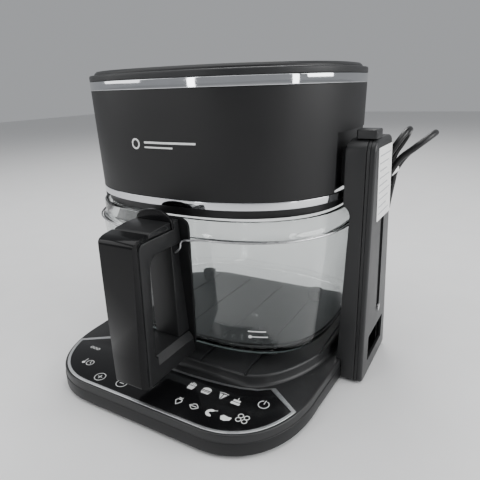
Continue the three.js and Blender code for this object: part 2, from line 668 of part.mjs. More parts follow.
function makeBracket() {
  const { halfWidth, halfFoot, bottom, top, rearBottom, rearTop, plate } = BRACKET;
  const side = [
    [rearBottom, bottom], [rearBottom - plate, bottom], [rearTop - plate, top], [rearTop, top],
  ];
  const front = rounded([
    [-halfFoot, bottom, 3], [-halfWidth, top, 9], [halfWidth, top, 9], [halfFoot, bottom, 3],
  ], 6);
  const sheet = common(extrude(side, "x", -halfWidth - 1, halfWidth + 1), extrude(front, "y", -100, -60));
  const spine = [[-88.5, 61.9], [-88.5, 146.6], [-79.5, 146.6], [-73, 61.9]];
  add("handle_bracket", join(sheet, extrude(spine, "x", -12.5, 12.5)), BLACK);
}

// Mains lead: out of the right column, up into a tied hank, and down to its plug
const LEAD_IN = [
  [134, 104, 85], [134, 112, 85], [133.8, 122, 88.5], [133, 129.5, 96], [131.8, 133.6, 106],
  [130.6, 135.2, 115], [129.9, 135.8, 122.4],
];
const LEAD_OUT = [
  [116.2, 98.2, 122.4], [116.2, 99.6, 117.5], [116.3, 103, 111.5], [116.4, 107.4, 107],
  [116.5, 110.8, 104.2], [116.5, 111.8, 101.4],
];

function slab(turn, thickness, low, high) {
  const r = HANK.halfSpan + CORD.gauge / 2;
  const cap = (v, from) => Array.from({ length: 9 }, (_, i) => {
    const a = from + (i / 8) * Math.PI;
    return [r * Math.cos(a), v + r * Math.sin(a)];
  });
  const shape = extrude([...cap(high, 0), ...cap(low, Math.PI)], "x", -thickness / 2, thickness / 2);
  shape.rotateY(THREE.MathUtils.degToRad(turn.tilt));
  return shape.translate(turn.x, HANK.y, HANK.z);
}

function makeCord() {
  const exit = [CORD.exitX, 76, CORD.exitZ];
  const relief = rod(6, exit, [CORD.exitX, 103.6, CORD.exitZ], 16, 3.9);
  add("strain_relief", relief, RUBBER);
  add("cord_lead_in", tube(LEAD_IN, CORD.diameter / 2, 10), RUBBER);
  add("cord_lead_out", tube(LEAD_OUT, CORD.diameter / 2, 6), RUBBER);

  const hanging = TURNS.map((turn) => slab({ ...turn, tilt: HANK.lean }, CORD.gauge + 0.1, -HANK.below, 0));
  const standing = TURNS.map((turn) => slab(turn, CORD.gauge, 0, turn.above));
  const below = block(100, 170, 50, 200, 100, HANK.z);
  const tops = standing.map((s) => cut(s, below));
  const hung = hanging.map((h) => common(h, block(90, 180, 50, 200, 90, 196)));
  add("cord_hank", join(...hung, ...tops), RUBBER);
  const [x0, x1] = [TURNS[2].x - 5.2, TURNS[0].x + 3.4];
  const r = HANK.halfSpan + CORD.gauge / 2 + 0.4;
  const band = cut(
    block(x0 - 1, x1 + 1, HANK.y - r - 0.6, HANK.y + r + 0.6, 176, 181),
    block(x0, x1, HANK.y - r, HANK.y + r, 170, 185),
  );
  add("cord_tie", band, WHITE);
  const corners = [[-9, -8], [-9, 8], [9, 8], [9, -8]];
  const plug = rounded(corners.map(([x, y]) => [PLUG.x + x, PLUG.y + y, 5]));
  const pins = [-5, 5].map((dx) => {
    return rod(2, [PLUG.x + dx, PLUG.y, PLUG.pins], [PLUG.x + dx, PLUG.y, PLUG.bottom + 1], 12);
  });
  add("plug", join(extrude(plug, "z", PLUG.bottom, PLUG.top, 2), ...pins), RUBBER);
}

makeBase();
makeColumns();
makeHead();
makeBowl();
makeHandle();
makeCord();

export default part;
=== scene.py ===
from math import copysign, cos, hypot, pi, radians, sin, sqrt

import bmesh
import bpy
from mathutils import Matrix, Vector


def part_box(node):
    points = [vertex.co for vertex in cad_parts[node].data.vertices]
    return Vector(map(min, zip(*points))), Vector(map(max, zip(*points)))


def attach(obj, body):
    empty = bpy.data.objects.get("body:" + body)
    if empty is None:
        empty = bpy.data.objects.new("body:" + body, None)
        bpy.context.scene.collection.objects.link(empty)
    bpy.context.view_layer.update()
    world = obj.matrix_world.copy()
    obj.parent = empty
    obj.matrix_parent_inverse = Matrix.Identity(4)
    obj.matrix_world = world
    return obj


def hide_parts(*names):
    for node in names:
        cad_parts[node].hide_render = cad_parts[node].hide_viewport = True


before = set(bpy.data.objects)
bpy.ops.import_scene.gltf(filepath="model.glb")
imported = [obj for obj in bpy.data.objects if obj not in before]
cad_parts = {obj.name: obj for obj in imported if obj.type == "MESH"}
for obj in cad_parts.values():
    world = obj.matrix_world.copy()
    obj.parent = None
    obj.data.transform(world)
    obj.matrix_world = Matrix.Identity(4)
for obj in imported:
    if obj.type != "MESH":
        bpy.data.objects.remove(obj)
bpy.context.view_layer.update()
MM = 0.001  # sizes below are in millimetres, unless a comment says otherwise


# ---------------------------------------------------------------- camera

# place in metres, angles in radians
CAMERA = {"place": (0.2336, -0.3557, 0.2658), "yaw": 0.5305, "down": 0.3296, "roll": -0.0333, "lens": 33.88}


def make_camera():
    yaw, down, roll = CAMERA["yaw"], CAMERA["down"], CAMERA["roll"]
    forward = Vector((-sin(yaw) * cos(down), cos(yaw) * cos(down), -sin(down)))
    level = Vector((cos(yaw), sin(yaw), 0))
    upright = level.cross(forward)
    right = level * cos(roll) + upright * sin(roll)
    up = upright * cos(roll) - level * sin(roll)
    data = bpy.data.cameras.new("camera")
    data.lens = CAMERA["lens"]
    data.sensor_width = 36
    data.clip_start = 0.01
    camera = bpy.data.objects.new("camera", data)
    camera.matrix_world = Matrix((right, up, -forward)).transposed().to_4x4()
    camera.location = CAMERA["place"]
    bpy.context.scene.collection.objects.link(camera)
    bpy.context.scene.camera = camera


make_camera()


# ---------------------------------------------------------------- sizes read from the frame

def box(node):
    """Low and high corner of a CAD node, in millimetres."""
    low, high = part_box(node)
    return [v / MM for v in low], [v / MM for v in high]


BODY_LOW, BODY_HIGH = box("head_body")
OVAL_Y = (BODY_LOW[1] + BODY_HIGH[1]) / 2
OVAL_RATIO = 0.842  # depth of the plan over its width
OVAL_POWER = 2.45  # how square the plan is at the head
RING_POWER = 2.65  # at the bowl's ring
FOOT_POWER = 3.2  # at the bowl's foot
TAPER = 0.022  # how far the head's wall leans in for each millimetre down


# ---------------------------------------------------------------- materials

NOISE_SPAN = (0.3, 0.7)  # the part of a noise texture's range that carries nearly all of it


def new_material(name):
    material = bpy.data.materials.new(name)
    material.use_nodes = True
    nodes = material.node_tree.nodes
    return material, nodes, material.node_tree.links, nodes["Principled BSDF"]


def noise(nodes, links, scale, detail=3.0, stretch=(1, 1, 1)):
    coordinates = nodes.new("ShaderNodeTexCoord")
    mapping = nodes.new("ShaderNodeMapping")
    mapping.inputs["Scale"].default_value = stretch
    texture = nodes.new("ShaderNodeTexNoise")
    texture.inputs["Scale"].default_value = scale
    texture.inputs["Detail"].default_value = detail
    links.new(coordinates.outputs["Object"], mapping.inputs["Vector"])
    links.new(mapping.outputs["Vector"], texture.inputs["Vector"])
    return texture.outputs["Fac"]


def spread(nodes, links, source, low, high, socket):
    ranger = nodes.new("ShaderNodeMapRange")
    ranger.inputs["From Min"].default_value, ranger.inputs["From Max"].default_value = NOISE_SPAN
    ranger.inputs["To Min"].default_value = low
    ranger.inputs["To Max"].default_value = high
    links.new(source, ranger.inputs["Value"])
    links.new(ranger.outputs["Result"], socket)


def tint(nodes, links, source, dark, light, socket):
    ramp = nodes.new("ShaderNodeValToRGB")
    for element, place, color in zip(ramp.color_ramp.elements, NOISE_SPAN, (dark, light)):
        element.position = place
        element.color = (*color, 1)
    links.new(source, ramp.inputs["Fac"])
    links.new(ramp.outputs["Color"], socket)


def bump(nodes, links, source, shader, strength, distance):
    node = nodes.new("ShaderNodeBump")
    node.inputs["Strength"].default_value = strength
    node.inputs["Distance"].default_value = distance
    links.new(source, node.inputs["Height"])
    links.new(node.outputs["Normal"], shader.inputs["Normal"])


def plastic(name, dark, light, rough, grain, depth, specular=0.35):
    """Moulded or coated surface: fine grain in the bump, slow drift in colour and gloss."""
    material, nodes, links, shader = new_material(name)
    slow = noise(nodes, links, scale=22.0, detail=4.0)
    tint(nodes, links, slow, dark, light, shader.inputs["Base Color"])
    spread(nodes, links, slow, *rough, shader.inputs["Roughness"])
    bump(nodes, links, noise(nodes, links, grain, detail=2.0), shader, strength=0.35, distance=depth)
    shader.inputs["Specular IOR Level"].default_value = specular
    return material


def metal(name, color, rough, stretch, scale, depth):
    """Polished or brushed metal: the noise is stretched along the brushing."""
    material, nodes, links, shader = new_material(name)
    shader.inputs["Metallic"].default_value = 1.0
    lines = noise(nodes, links, scale, stretch=stretch)
    tint(nodes, links, lines, tuple(c * 0.93 for c in color), color, shader.inputs["Base Color"])
    spread(nodes, links, lines, *rough, shader.inputs["Roughness"])
    bump(nodes, links, lines, shader, strength=0.2, distance=depth)
    return material


def clear_glass(name):
    """Thick clear glass that shows green at its edges, with faint smears in the gloss; its grey base colour
    is painted shade, for the shade behind the bowl under the head.
    """
    material, nodes, links, shader = new_material(name)
    shader.inputs["Transmission Weight"].default_value = 1.0
    shader.inputs["IOR"].default_value = 1.46
    smears = noise(nodes, links, scale=35.0, detail=5.0)
    spread(nodes, links, smears, 0.0, 0.03, shader.inputs["Roughness"])
    # painted shade: this grey base colour darkens everything seen through the glass
    tint(nodes, links, smears, (0.80, 0.816, 0.812), (0.825, 0.84, 0.836), shader.inputs["Base Color"])
    absorption = nodes.new("ShaderNodeVolumeAbsorption")
    absorption.inputs["Color"].default_value = (0.42, 0.80, 0.74, 1)
    absorption.inputs["Density"].default_value = 2.2
    links.new(absorption.outputs["Volume"], nodes["Material Output"].inputs["Volume"])
    return material


# name, darkest and lightest colour, roughness, scale of the grain, its depth in metres, specular level
PLASTICS = {
    "head": ("head_coating", (0.0095, 0.0095, 0.01), (0.012, 0.012, 0.0125), (0.46, 0.54), 1500, 6e-5, 0.28),
    "black": (
        "black_plastic", (0.009, 0.0092, 0.0097), (0.0118, 0.012, 0.0126), (0.36, 0.44), 1100, 5e-5, 0.28,
    ),
    "column": ("column_black", (0.017, 0.0173, 0.018), (0.021, 0.0213, 0.022), (0.34, 0.42), 1100, 5e-5),
    "lid": ("lid_grey", (0.016, 0.0165, 0.0175), (0.021, 0.0215, 0.0225), (0.4, 0.48), 1400, 6e-5, 0.28),
    "gloss": ("gloss_black", (0.005, 0.005, 0.0055), (0.0065, 0.0065, 0.007), (0.1, 0.17), 60, 3e-5, 0.16),
    "panel": ("panel_black", (0.004, 0.004, 0.0045), (0.006, 0.006, 0.0065), (0.1, 0.16), 60, 2e-5, 0.3),
    "rubber": ("soft_rubber", (0.009, 0.009, 0.0095), (0.014, 0.014, 0.0145), (0.55, 0.7), 700, 1e-4),
    "cord": ("cord_sheath", (0.009, 0.009, 0.0095), (0.014, 0.014, 0.015), (0.3, 0.42), 900, 6e-5),
    "white": ("white_print", (0.74, 0.75, 0.74), (0.8, 0.81, 0.8), (0.5, 0.6), 900, 2e-5),
    "label": ("label_film", (0.8, 0.8, 0.79), (0.86, 0.86, 0.85), (0.45, 0.55), 500, 3e-5),
    "grey_ink": ("grey_ink", (0.36, 0.37, 0.39), (0.44, 0.45, 0.47), (0.5, 0.6), 500, 2e-5),
    "board": ("board_green", (0.01, 0.06, 0.02), (0.02, 0.09, 0.035), (0.35, 0.45), 800, 1e-4),
    "floor": ("pale_floor", (0.72, 0.72, 0.72), (0.74, 0.74, 0.74), (0.6, 0.7), 40, 2e-5),
}

# name, colour, roughness, stretch of the brushing, its scale, its depth in metres
METALS = {
    "chrome": ("bright_band", (0.66, 0.67, 0.69), (0.03, 0.08), (1, 1, 6), 40, 1e-5),
    "silver": ("satin_silver", (0.76, 0.77, 0.78), (0.32, 0.42), (6, 1, 1), 200, 2e-5),
    "steel": ("drawn_steel", (0.55, 0.55, 0.56), (0.22, 0.36), (1, 1, 8), 220, 3e-5),
    "copper": ("copper", (0.75, 0.36, 0.18), (0.25, 0.38), (8, 1, 1), 220, 3e-5),
}

MATERIALS = {key: plastic(*row) for key, row in PLASTICS.items()}
MATERIALS |= {key: metal(*row) for key, row in METALS.items()}
MATERIALS["glass"] = clear_glass("clear_glass")


# ---------------------------------------------------------------- mesh helpers

# how an outline in x and y is turned so that it is swept along each axis
AXES = {
    "z": Matrix(((1, 0, 0), (0, 1, 0), (0, 0, 1))),
    "x": Matrix(((0, 0, 1), (1, 0, 0), (0, 1, 0))),
    "y": Matrix(((1, 0, 0), (0, 0, -1), (0, 1, 0))),
}


def soften(piece, sharp=30):
    piece.data.polygons.foreach_set("use_smooth", [True] * len(piece.data.polygons))
    piece.data.set_sharp_from_angle(angle=radians(sharp))
    piece.data.update()
    return piece


def mesh_object(name, verts, faces, sharp=30):
    """A closed mesh from millimetre points, faces outwards, smooth except at its sharp edges."""
    mesh = bpy.data.meshes.new(name)
    mesh.from_pydata([Vector(v) * MM for v in verts], [], faces)
    made = bmesh.new()
    made.from_mesh(mesh)
    bmesh.ops.remove_doubles(made, verts=made.verts, dist=1e-7)
    bmesh.ops.recalc_face_normals(made, faces=made.faces)
    made.to_mesh(mesh)
    made.free()
    piece = bpy.data.objects.new(name, mesh)
    bpy.context.scene.collection.objects.link(piece)
    return soften(piece, sharp)


def place(piece, body, material, slot, *nodes):
    """Dress a finished piece, let it ride a body, and hide the CAD nodes that it replaces."""
    piece.data.materials.clear()
    piece.data.materials.append(MATERIALS[material])
    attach(piece, body)
    if nodes:
        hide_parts(*nodes)
    return piece


def carve(piece, *cutters, operation="DIFFERENCE"):
    """Boolean with other pieces, which are used up."""
    for cutter in cutters:
        modifier = piece.modifiers.new("cut", "BOOLEAN")
        modifier.operation = operation
        modifier.solver = "EXACT"
        modifier.object = cutter
        graph = bpy.context.evaluated_depsgraph_get()
        result = bpy.data.meshes.new_from_object(piece.evaluated_get(graph))
        piece.modifiers.clear()
        piece.data = result
        bpy.data.objects.remove(cutter)
    return soften(piece)


def inset(points, d):
    """Every point of an outline moved inwards by d."""
    if not d:
        return list(points)
    area = sum(a[0] * b[1] - b[0] * a[1] for a, b in zip(points, points[1:] + points[:1]))
    side = copysign(1, area)
    moved = []
    for i, (x, y) in enumerate(points):
        bx, by = points[i - 1]
        ax, ay = points[(i + 1) % len(points)]
        before, after = hypot(x - bx, y - by), hypot(ax - x, ay - y)
        n1 = ((by - y) / before, (x - bx) / before)
        n2 = ((y - ay) / after, (ax - x) / after)
        k = side * d / (1 + n1[0] * n2[0] + n1[1] * n2[1])
        moved.append((x + (n1[0] + n2[0]) * k, y + (n1[1] + n2[1]) * k))
    return moved


def rounded(points, steps=8):
    """A polygon with rounded corners; a point is (x, y), or (x, y, reach) where it is rounded."""
    outline = []
    for i, (x, y, *reach) in enumerate(points):
        if not reach:
            outline.append((x, y))
            continue
        bx, by = points[i - 1][:2]
        ax, ay = points[(i + 1) % len(points)][:2]
        before, after = hypot(bx - x, by - y), hypot(ax - x, ay - y)
        start = (x + (bx - x) / before * reach[0], y + (by - y) / before * reach[0])
        end = (x + (ax - x) / after * reach[0], y + (ay - y) / after * reach[0])
        for k in range(steps + 1):
            t = k / steps
            u, v, w = (1 - t) ** 2, 2 * t * (1 - t), t * t
            outline.append((u * start[0] + v * x + w * end[0], u * start[1] + v * y + w * end[1]))
    return outline


def rims(low, high, low_round=0.0, high_round=0.0, steps=4):
    """(height, inset) rings of a slab with rounded rims."""
    arc = [k / steps * pi / 2 for k in range(steps + 1)]
    start = [(low + low_round * (1 - sin(a)), low_round * (1 - cos(a))) for a in reversed(arc)]
    end = [(high - high_round * (1 - sin(a)), high_round * (1 - cos(a))) for a in arc]
    return (start if low_round else [(low, 0)]) + (end if high_round else [(high, 0)])


def slab(name, outline, axis, rings):
    """A solid swept along an axis through rings of (height, inset), with flat ends."""
    turn = AXES[axis]
    verts, faces = [], []
    count = len(outline)
    for height, amount in rings:
        verts += [turn @ Vector((x, y, height)) for x, y in inset(outline, amount)]
    for k in range(len(rings) - 1):
        for i in range(count):
            j = (i + 1) % count
            faces.append((k * count + i, k * count + j, (k + 1) * count + j, (k + 1) * count + i))
    last = (len(rings) - 1) * count
    faces.append(tuple(range(count)))
    faces.append(tuple(range(last, last + count)))
    return mesh_object(name, verts, faces)


def cutter(outline, axis, low, high):
    """A plain prism, for carve to use up."""
    return slab("cutter", outline, axis, [(low, 0), (high, 0)])


def cuboid(name, low, high):
    outline = [(low[0], low[1]), (high[0], low[1]), (high[0], high[1]), (low[0], high[1])]
    return slab(name, outline, "z", [(low[2], 0), (high[2], 0)])


def oval_at(radius, angle, power=OVAL_POWER):
    c, s = cos(angle), sin(angle)
    k = radius / (abs(c) ** power + abs(s) ** power) ** (1 / power)
    return k * c, OVAL_Y + k * s * OVAL_RATIO


def oval_piece(name, profile, segments=168, sharp=30, power_at=lambda z: OVAL_POWER):
    """A closed (r, z) loop carried round the oval plan shared by the head and the bowl."""
    verts, faces = [], []
    count = len(profile)
    for i in range(segments):
        angle = i / segments * 2 * pi
        verts += [(*oval_at(r, angle, power_at(z)), z) for r, z in profile]
    for i in range(segments):
        j = (i + 1) % segments
        for k in range(count):
            m = (k + 1) % count
            if profile[k][0] < 1e-6 and profile[m][0] < 1e-6:
                continue
            faces.append((i * count + k, i * count + m, j * count + m, j * count + k))
    return mesh_object(name, verts, faces, sharp)


def tube(name, points, radius, sides):
    """A round rod along points, with flat ends; radius is one number, or a list with one for each point."""
    radii = radius if isinstance(radius, list) else [radius] * len(points)
    path = [Vector(p) for p in points]
    verts, faces = [], []
    normal = None
    for i, point in enumerate(path):
        ahead = path[min(i + 1, len(path) - 1)] - path[max(i - 1, 0)]
        ahead.normalize()
        if normal is None:
            normal = ahead.orthogonal().normalized()
        normal = (normal - ahead * normal.dot(ahead)).normalized()
        side = ahead.cross(normal)
        for k in range(sides):
            a = k / sides * 2 * pi
            verts.append(point + (normal * cos(a) + side * sin(a)) * radii[i])
    for i in range(len(path) - 1):
        for k in range(sides):
            m = (k + 1) % sides
            faces.append((i * sides + k, i * sides + m, (i + 1) * sides + m, (i + 1) * sides + k))
    faces.append(tuple(range(sides)))
    faces.append(tuple(range((len(path) - 1) * sides, len(path) * sides)))
    return mesh_object(name, verts, faces)


def smooth_path(points, steps=5):
    """Points along a Catmull-Rom curve through the given ones."""
    path = [Vector(p) for p in points]
    path = [path[0] * 2 - path[1]] + path + [path[-1] * 2 - path[-2]]
    made = []
    for a, b, c, d in zip(path, path[1:], path[2:], path[3:]):
        for k in range(steps):
            t = k / steps
            made.append(0.5 * (2 * b + (c - a) * t + (2 * a - 5 * b + 4 * c - d) * t * t
                               + (3 * b - a - 3 * c + d) * t ** 3))
    made.append(path[-2])
    return made


def joined(name, pieces):
    """Several separate closed meshes as one piece."""
    mesh = bpy.data.meshes.new(name)
    made = bmesh.new()
    for piece in pieces:
        made.from_mesh(piece.data)
        bpy.data.objects.remove(piece)
    made.to_mesh(mesh)
    made.free()
    whole = bpy.data.objects.new(name, mesh)
    bpy.context.scene.collection.objects.link(whole)
    return soften(whole)


# ---------------------------------------------------------------- outlines

def quarter(cx, cy, rx, ry, power=2.0, steps=24):
    """A quarter of a superellipse about (cx, cy), from its right end to its front."""
    arc = [k / steps * pi / 2 for k in range(steps + 1)]
    return [(cx + rx * cos(a) ** (2 / power), cy - ry * sin(a) ** (2 / power)) for a in arc]


def mirrored(points):
    return [(-x, y) for x, y in reversed(points)]


COVER_LOW, COVER_HIGH = box("base_cover")
BASE_SIDE = COVER_HIGH[0]
BASE_FRONT = COVER_LOW[1]
BASE_REAR = COVER_HIGH[1]
BASE_TOP = COVER_HIGH[2]
PARTING = COVER_LOW[2]
FRONT_CENTRE = (58, -51)  # of the quarter curve at each front corner
FRONT_POWER = 2.3
FRONT_NARROWER = 2.5  # how far the front corners stay inside the base's sides
REAR_RADIUS = 60
COVER_WALL = 2.6


def base_front(amount=0.0, steps=28):
    """The right front corner of the base, moved inwards by amount."""
    cx, cy = FRONT_CENTRE
    rx, ry = BASE_SIDE - FRONT_NARROWER - cx - amount, cy - BASE_FRONT - amount
    return quarter(cx, cy, rx, ry, FRONT_POWER, steps)


def base_outline():
    rear = quarter(BASE_SIDE - REAR_RADIUS, 0, REAR_RADIUS, REAR_RADIUS)
    back = [(x, BASE_REAR - REAR_RADIUS - y) for x, y in rear]
    right = [*reversed(back), (BASE_SIDE, 0), *base_front()]
    return right + mirrored(right)


PANEL = {"edge": 2.8, "border": 2.4, "side": -81.7}
# the back edge of the panel, from its middle to its right end
PANEL_BACK = [(15.9, -82.4), (32.9, -81.5), (50.9, -79.9), (66.8, -77.5), (81.1, -73)]
PANEL_END = (93.4, -65.2)


def panel_outline(border):
    front = [p for p in base_front(PANEL["edge"] + border, 40) if p[1] < PANEL["side"] - border]
    back = [(x, y - border) for x, y in PANEL_BACK]
    right = [*back, (PANEL_END[0] - 1.2 * border, PANEL_END[1] - 1.4 * border), *front]
    return right + mirrored(right)


SEAT_LOW, SEAT_HIGH = box("seat_platform")
SEAT = {"corner": 66, "rear": 46, "front_centre": 20, "power": 1.8, "foot": 2.2}
GROOVES = {"places": (-114, -68.4, -22.8, 22.8, 68.4, 114), "half_width": 1.5, "depth": 1.2}


def seat_outline():
    """The seat above its spread foot."""
    corner, rear, foot, centre = SEAT["corner"], SEAT["rear"], SEAT["foot"], SEAT["front_centre"]
    reach = SEAT_HIGH[0] - foot - corner
    front = quarter(corner, centre, reach, centre - (SEAT_LOW[1] + foot), SEAT["power"])
    back = [(x, SEAT_HIGH[1] - foot - rear - y) for x, y in quarter(corner, 0, reach, rear)]
    right = list(reversed(back)) + front
    return right + mirrored(right)


def make_base():
    outline = base_outline()
    cover = slab("base_cover_skin", inset(outline, 0.7), "z", rims(PARTING, BASE_TOP, 0.3, 1.4, 5))
    inner = cutter(inset(outline, COVER_WALL), "z", 0, BASE_TOP - COVER_WALL)
    pocket = cutter(inset(panel_outline(0), -0.3), "z", BASE_TOP - 1.2, BASE_TOP + 2)
    place(carve(cover, inner, pocket), "base", "column", "black_plastic", "base_cover")

    low, high = box("base_tray")
    tray = slab("base_tray_skin", inset(outline, 0.05), "z", rims(low[2], high[2], 0.9, 0.9))
    hollow = cutter(inset(outline, COVER_WALL + 0.5), "z", low[2] + COVER_WALL, high[2] + 5)
    place(carve(tray, hollow), "base", "black", "black_plastic", "base_tray")

    low, high = box("touch_panel")
    glass = slab("touch_panel_skin", inset(panel_outline(PANEL["border"]), 0.3), "z",
                 rims(low[2], high[2], 0.0, 0.25, 3))
    place(glass, "base", "panel", "gloss_black", "touch_panel")
    trim = slab("panel_trim_skin", panel_outline(0), "z", rims(low[2], high[2], 0.0, 0.3, 3))
    middle = cutter(panel_outline(PANEL["border"]), "z", low[2] - 2, high[2] + 2)
    place(carve(trim, middle), "base", "silver", "panel_border", "panel_trim")

    foot, top = SEAT_LOW[2], SEAT_HIGH[2]
    foot_rings = [(foot, -SEAT["foot"]), (foot + 0.5, -1.4), (foot + 1.3, -0.6), (foot + 2.6, 0)]
    seat = slab("seat_skin", seat_outline(), "z", foot_rings + rims(top - 3, top, 0.0, 2.2, 6)[1:])
    hollow = cutter(inset(seat_outline(), COVER_WALL), "z", 0, top - 3.4)
    half, depth, past = GROOVES["half_width"], GROOVES["depth"], 200
    grooves = [cuboid("cutter", (x - half, -past, top - depth), (x + half, past, top + 1))
               for x in GROOVES["places"]]
    # the seat wears the lighter column plastic; this lighter tone is partly painted light, for the light that
    # reaches the seat under the bowl
    place(carve(seat, hollow, *grooves), "base", "column", "black_plastic", "seat_platform")


# ---------------------------------------------------------------- columns

COVER_R_LOW, COVER_R_HIGH = box("column_cover_right")
COLUMN = {
    "seam": box("column_frame_right")[1][0], "outer": COVER_R_HIGH[0], "front": COVER_R_LOW[1],
    "bottom": COVER_R_LOW[2], "top": COVER_R_HIGH[2], "rear_top": 56.4, "rear_bottom": 86.0, "inner": 124.7,
    "wall": 2.6,
}
WINDOW = {"y0": 17.2, "y1": 68.6, "z0": 16.7, "z1": 42.2}
CHANNEL = {"top": (38.4, 149), "bottom": (44.6, 66), "radius": 5.6, "depth": 1.8}
TONGUE = {"x0": 119, "x1": 130, "y0": 10, "y1": 54, "z0": 183.5, "z1": 214}  # reaches into the head
LINE_IN_COVER = {"from_seam": 2.9, "width": 0.6, "depth": 0.7}


def column_side(amount=0.0):
    """The column seen from the side, moved inwards by amount."""
    top, bottom = COLUMN["top"] - amount, COLUMN["bottom"] + amount
    front = COLUMN["front"] + amount
    slope = (COLUMN["rear_bottom"] - COLUMN["rear_top"]) / COLUMN["top"]

    def rear(z):
        return COLUMN["rear_top"] + slope * (COLUMN["top"] - z) - amount

    corners = [(front, bottom, 6), (front, top, 12.5), (rear(top), top, 9), (rear(bottom), bottom, 6)]
    return rounded(corners, 12)


def inner_face():
    """The right column's frame seen from the front: it steps in above the base and leans with the bowl."""
    seam, inner, past = COLUMN["seam"], COLUMN["inner"], 3
    edge = BASE_SIDE + 0.3
    shelf = BASE_TOP + 0.3
    return rounded([
        (seam, COLUMN["bottom"] - past), (seam, COLUMN["top"] + past), (inner, COLUMN["top"] + past, 12.5),
        (inner, 169), (130.6, 164, 5), (126.4, 64), (inner + 0.3, shelf), (edge, shelf),
        (edge, COLUMN["bottom"] - past),
    ], 10)


def flip(points, side):
    return [(x * side, y) for x, y in points]


def span_x(side, inner, outer):
    """The low and high x of a stretch that runs outwards on one side."""
    return (inner, outer) if side > 0 else (-outer, -inner)


def side_rings(side, low, high, low_round, high_round):
    """Rings along X for a slab on the left or the right; high_round is at its outer end."""
    if side > 0:
        return rims(low, high, low_round, high_round, 6)
    return rims(-high, -low, high_round, low_round, 6)


def make_column(side, name):
    seam, outer, wall = COLUMN["seam"], COLUMN["outer"], COLUMN["wall"]
    frame_rings = side_rings(side, 117, seam, 0, 0.5)
    frame_piece = slab(f"column_frame_{name}_skin", column_side(), "x", frame_rings)
    face = cutter(flip(inner_face(), side), "y", -110, 20)
    frame_piece = carve(frame_piece, face, operation="INTERSECT")
    hollow = cutter(column_side(wall), "x", *span_x(side, 133, seam + 2))
    x0, x1 = span_x(side, TONGUE["x0"], TONGUE["x1"])
    tongue = cuboid("tongue", (x0, TONGUE["y0"], TONGUE["z0"]), (x1, TONGUE["y1"], TONGUE["z1"]))
    frame_piece = carve(frame_piece, hollow)
    frame_piece = carve(frame_piece, tongue, operation="UNION")
    place(frame_piece, "base", "column", "black_plastic", f"column_frame_{name}")

    cover_rings = side_rings(side, seam + 0.3, outer, 0.5, 2.4)
    cover = slab(f"column_cover_{name}_skin", column_side(), "x", cover_rings)
    inside = cutter(column_side(wall), "x", *span_x(side, seam - 1, outer - 2.2))
    y0, y1, z0, z1 = WINDOW["y0"], WINDOW["y1"], WINDOW["z0"], WINDOW["z1"]
    hole = rounded([(y0, z0, 2), (y0, z1, 2), (y1, z1, 2), (y1, z0, 2)])
    window = cutter(hole, "x", *span_x(side, seam - 1, outer + 2))
    channel = cutter(channel_outline(), "x", *span_x(side, outer - CHANNEL["depth"], outer + 2))
    start = seam + LINE_IN_COVER["from_seam"]
    ring = cutter(column_side(-1), "x", *span_x(side, start, start + LINE_IN_COVER["width"]))
    core = cutter(column_side(LINE_IN_COVER["depth"]), "x", *span_x(side, start - 0.4, start + 1.1))
    groove = carve(ring, core)
    cover = carve(cover, inside, window, channel, groove)
    place(cover, "base", "column", "black_plastic", f"column_cover_{name}")

    (x0, y0, z0), (x1, y1, z1) = box(f"head_lug_{name}")
    lug_outline = rounded([(x0, y0, 2), (x0, y1, 2), (x1, y1, 2), (x1, y0, 2)])
    lug = slab(f"head_lug_{name}_skin", lug_outline, "z", rims(z0, z1, 0.4, 1.2, 4))
    place(lug, "base", "column", "head_coating", f"head_lug_{name}")


def channel_outline():
    """A long slot: half a circle round each end."""
    outline = []
    for (cy, cz), start in ((CHANNEL["top"], 0), (CHANNEL["bottom"], pi)):
        for i in range(17):
            a = start + i / 16 * pi
            outline.append((cy + CHANNEL["radius"] * cos(a), cz + CHANNEL["radius"] * sin(a)))
    return outline


# ---------------------------------------------------------------- head

BAND_LOW = BODY_HIGH[2] + 0.3  # the foot of the upper band, where the head is widest
SKIRT = {"inner": 117.2, "low": 120.2, "high": 120.9}
# a box in each side of the head for the column's top, and the liner that closes it
RECESS = {"x": 117, "y0": -8.5, "y1": 84, "top": 229}
LINER_WALL = 2.6


def wall_at(z):
    return BODY_HIGH[0] - (BAND_LOW - z) * TAPER


def ring_profile(low, high, thickness, proud, reach):
    """A band of the head's wall between two heights."""
    foot, top = wall_at(low), wall_at(high)
    return rounded([
        (foot - thickness, low), (foot + proud, low, reach),
        (top + proud, high, reach), (top - thickness, high),
    ], 4)


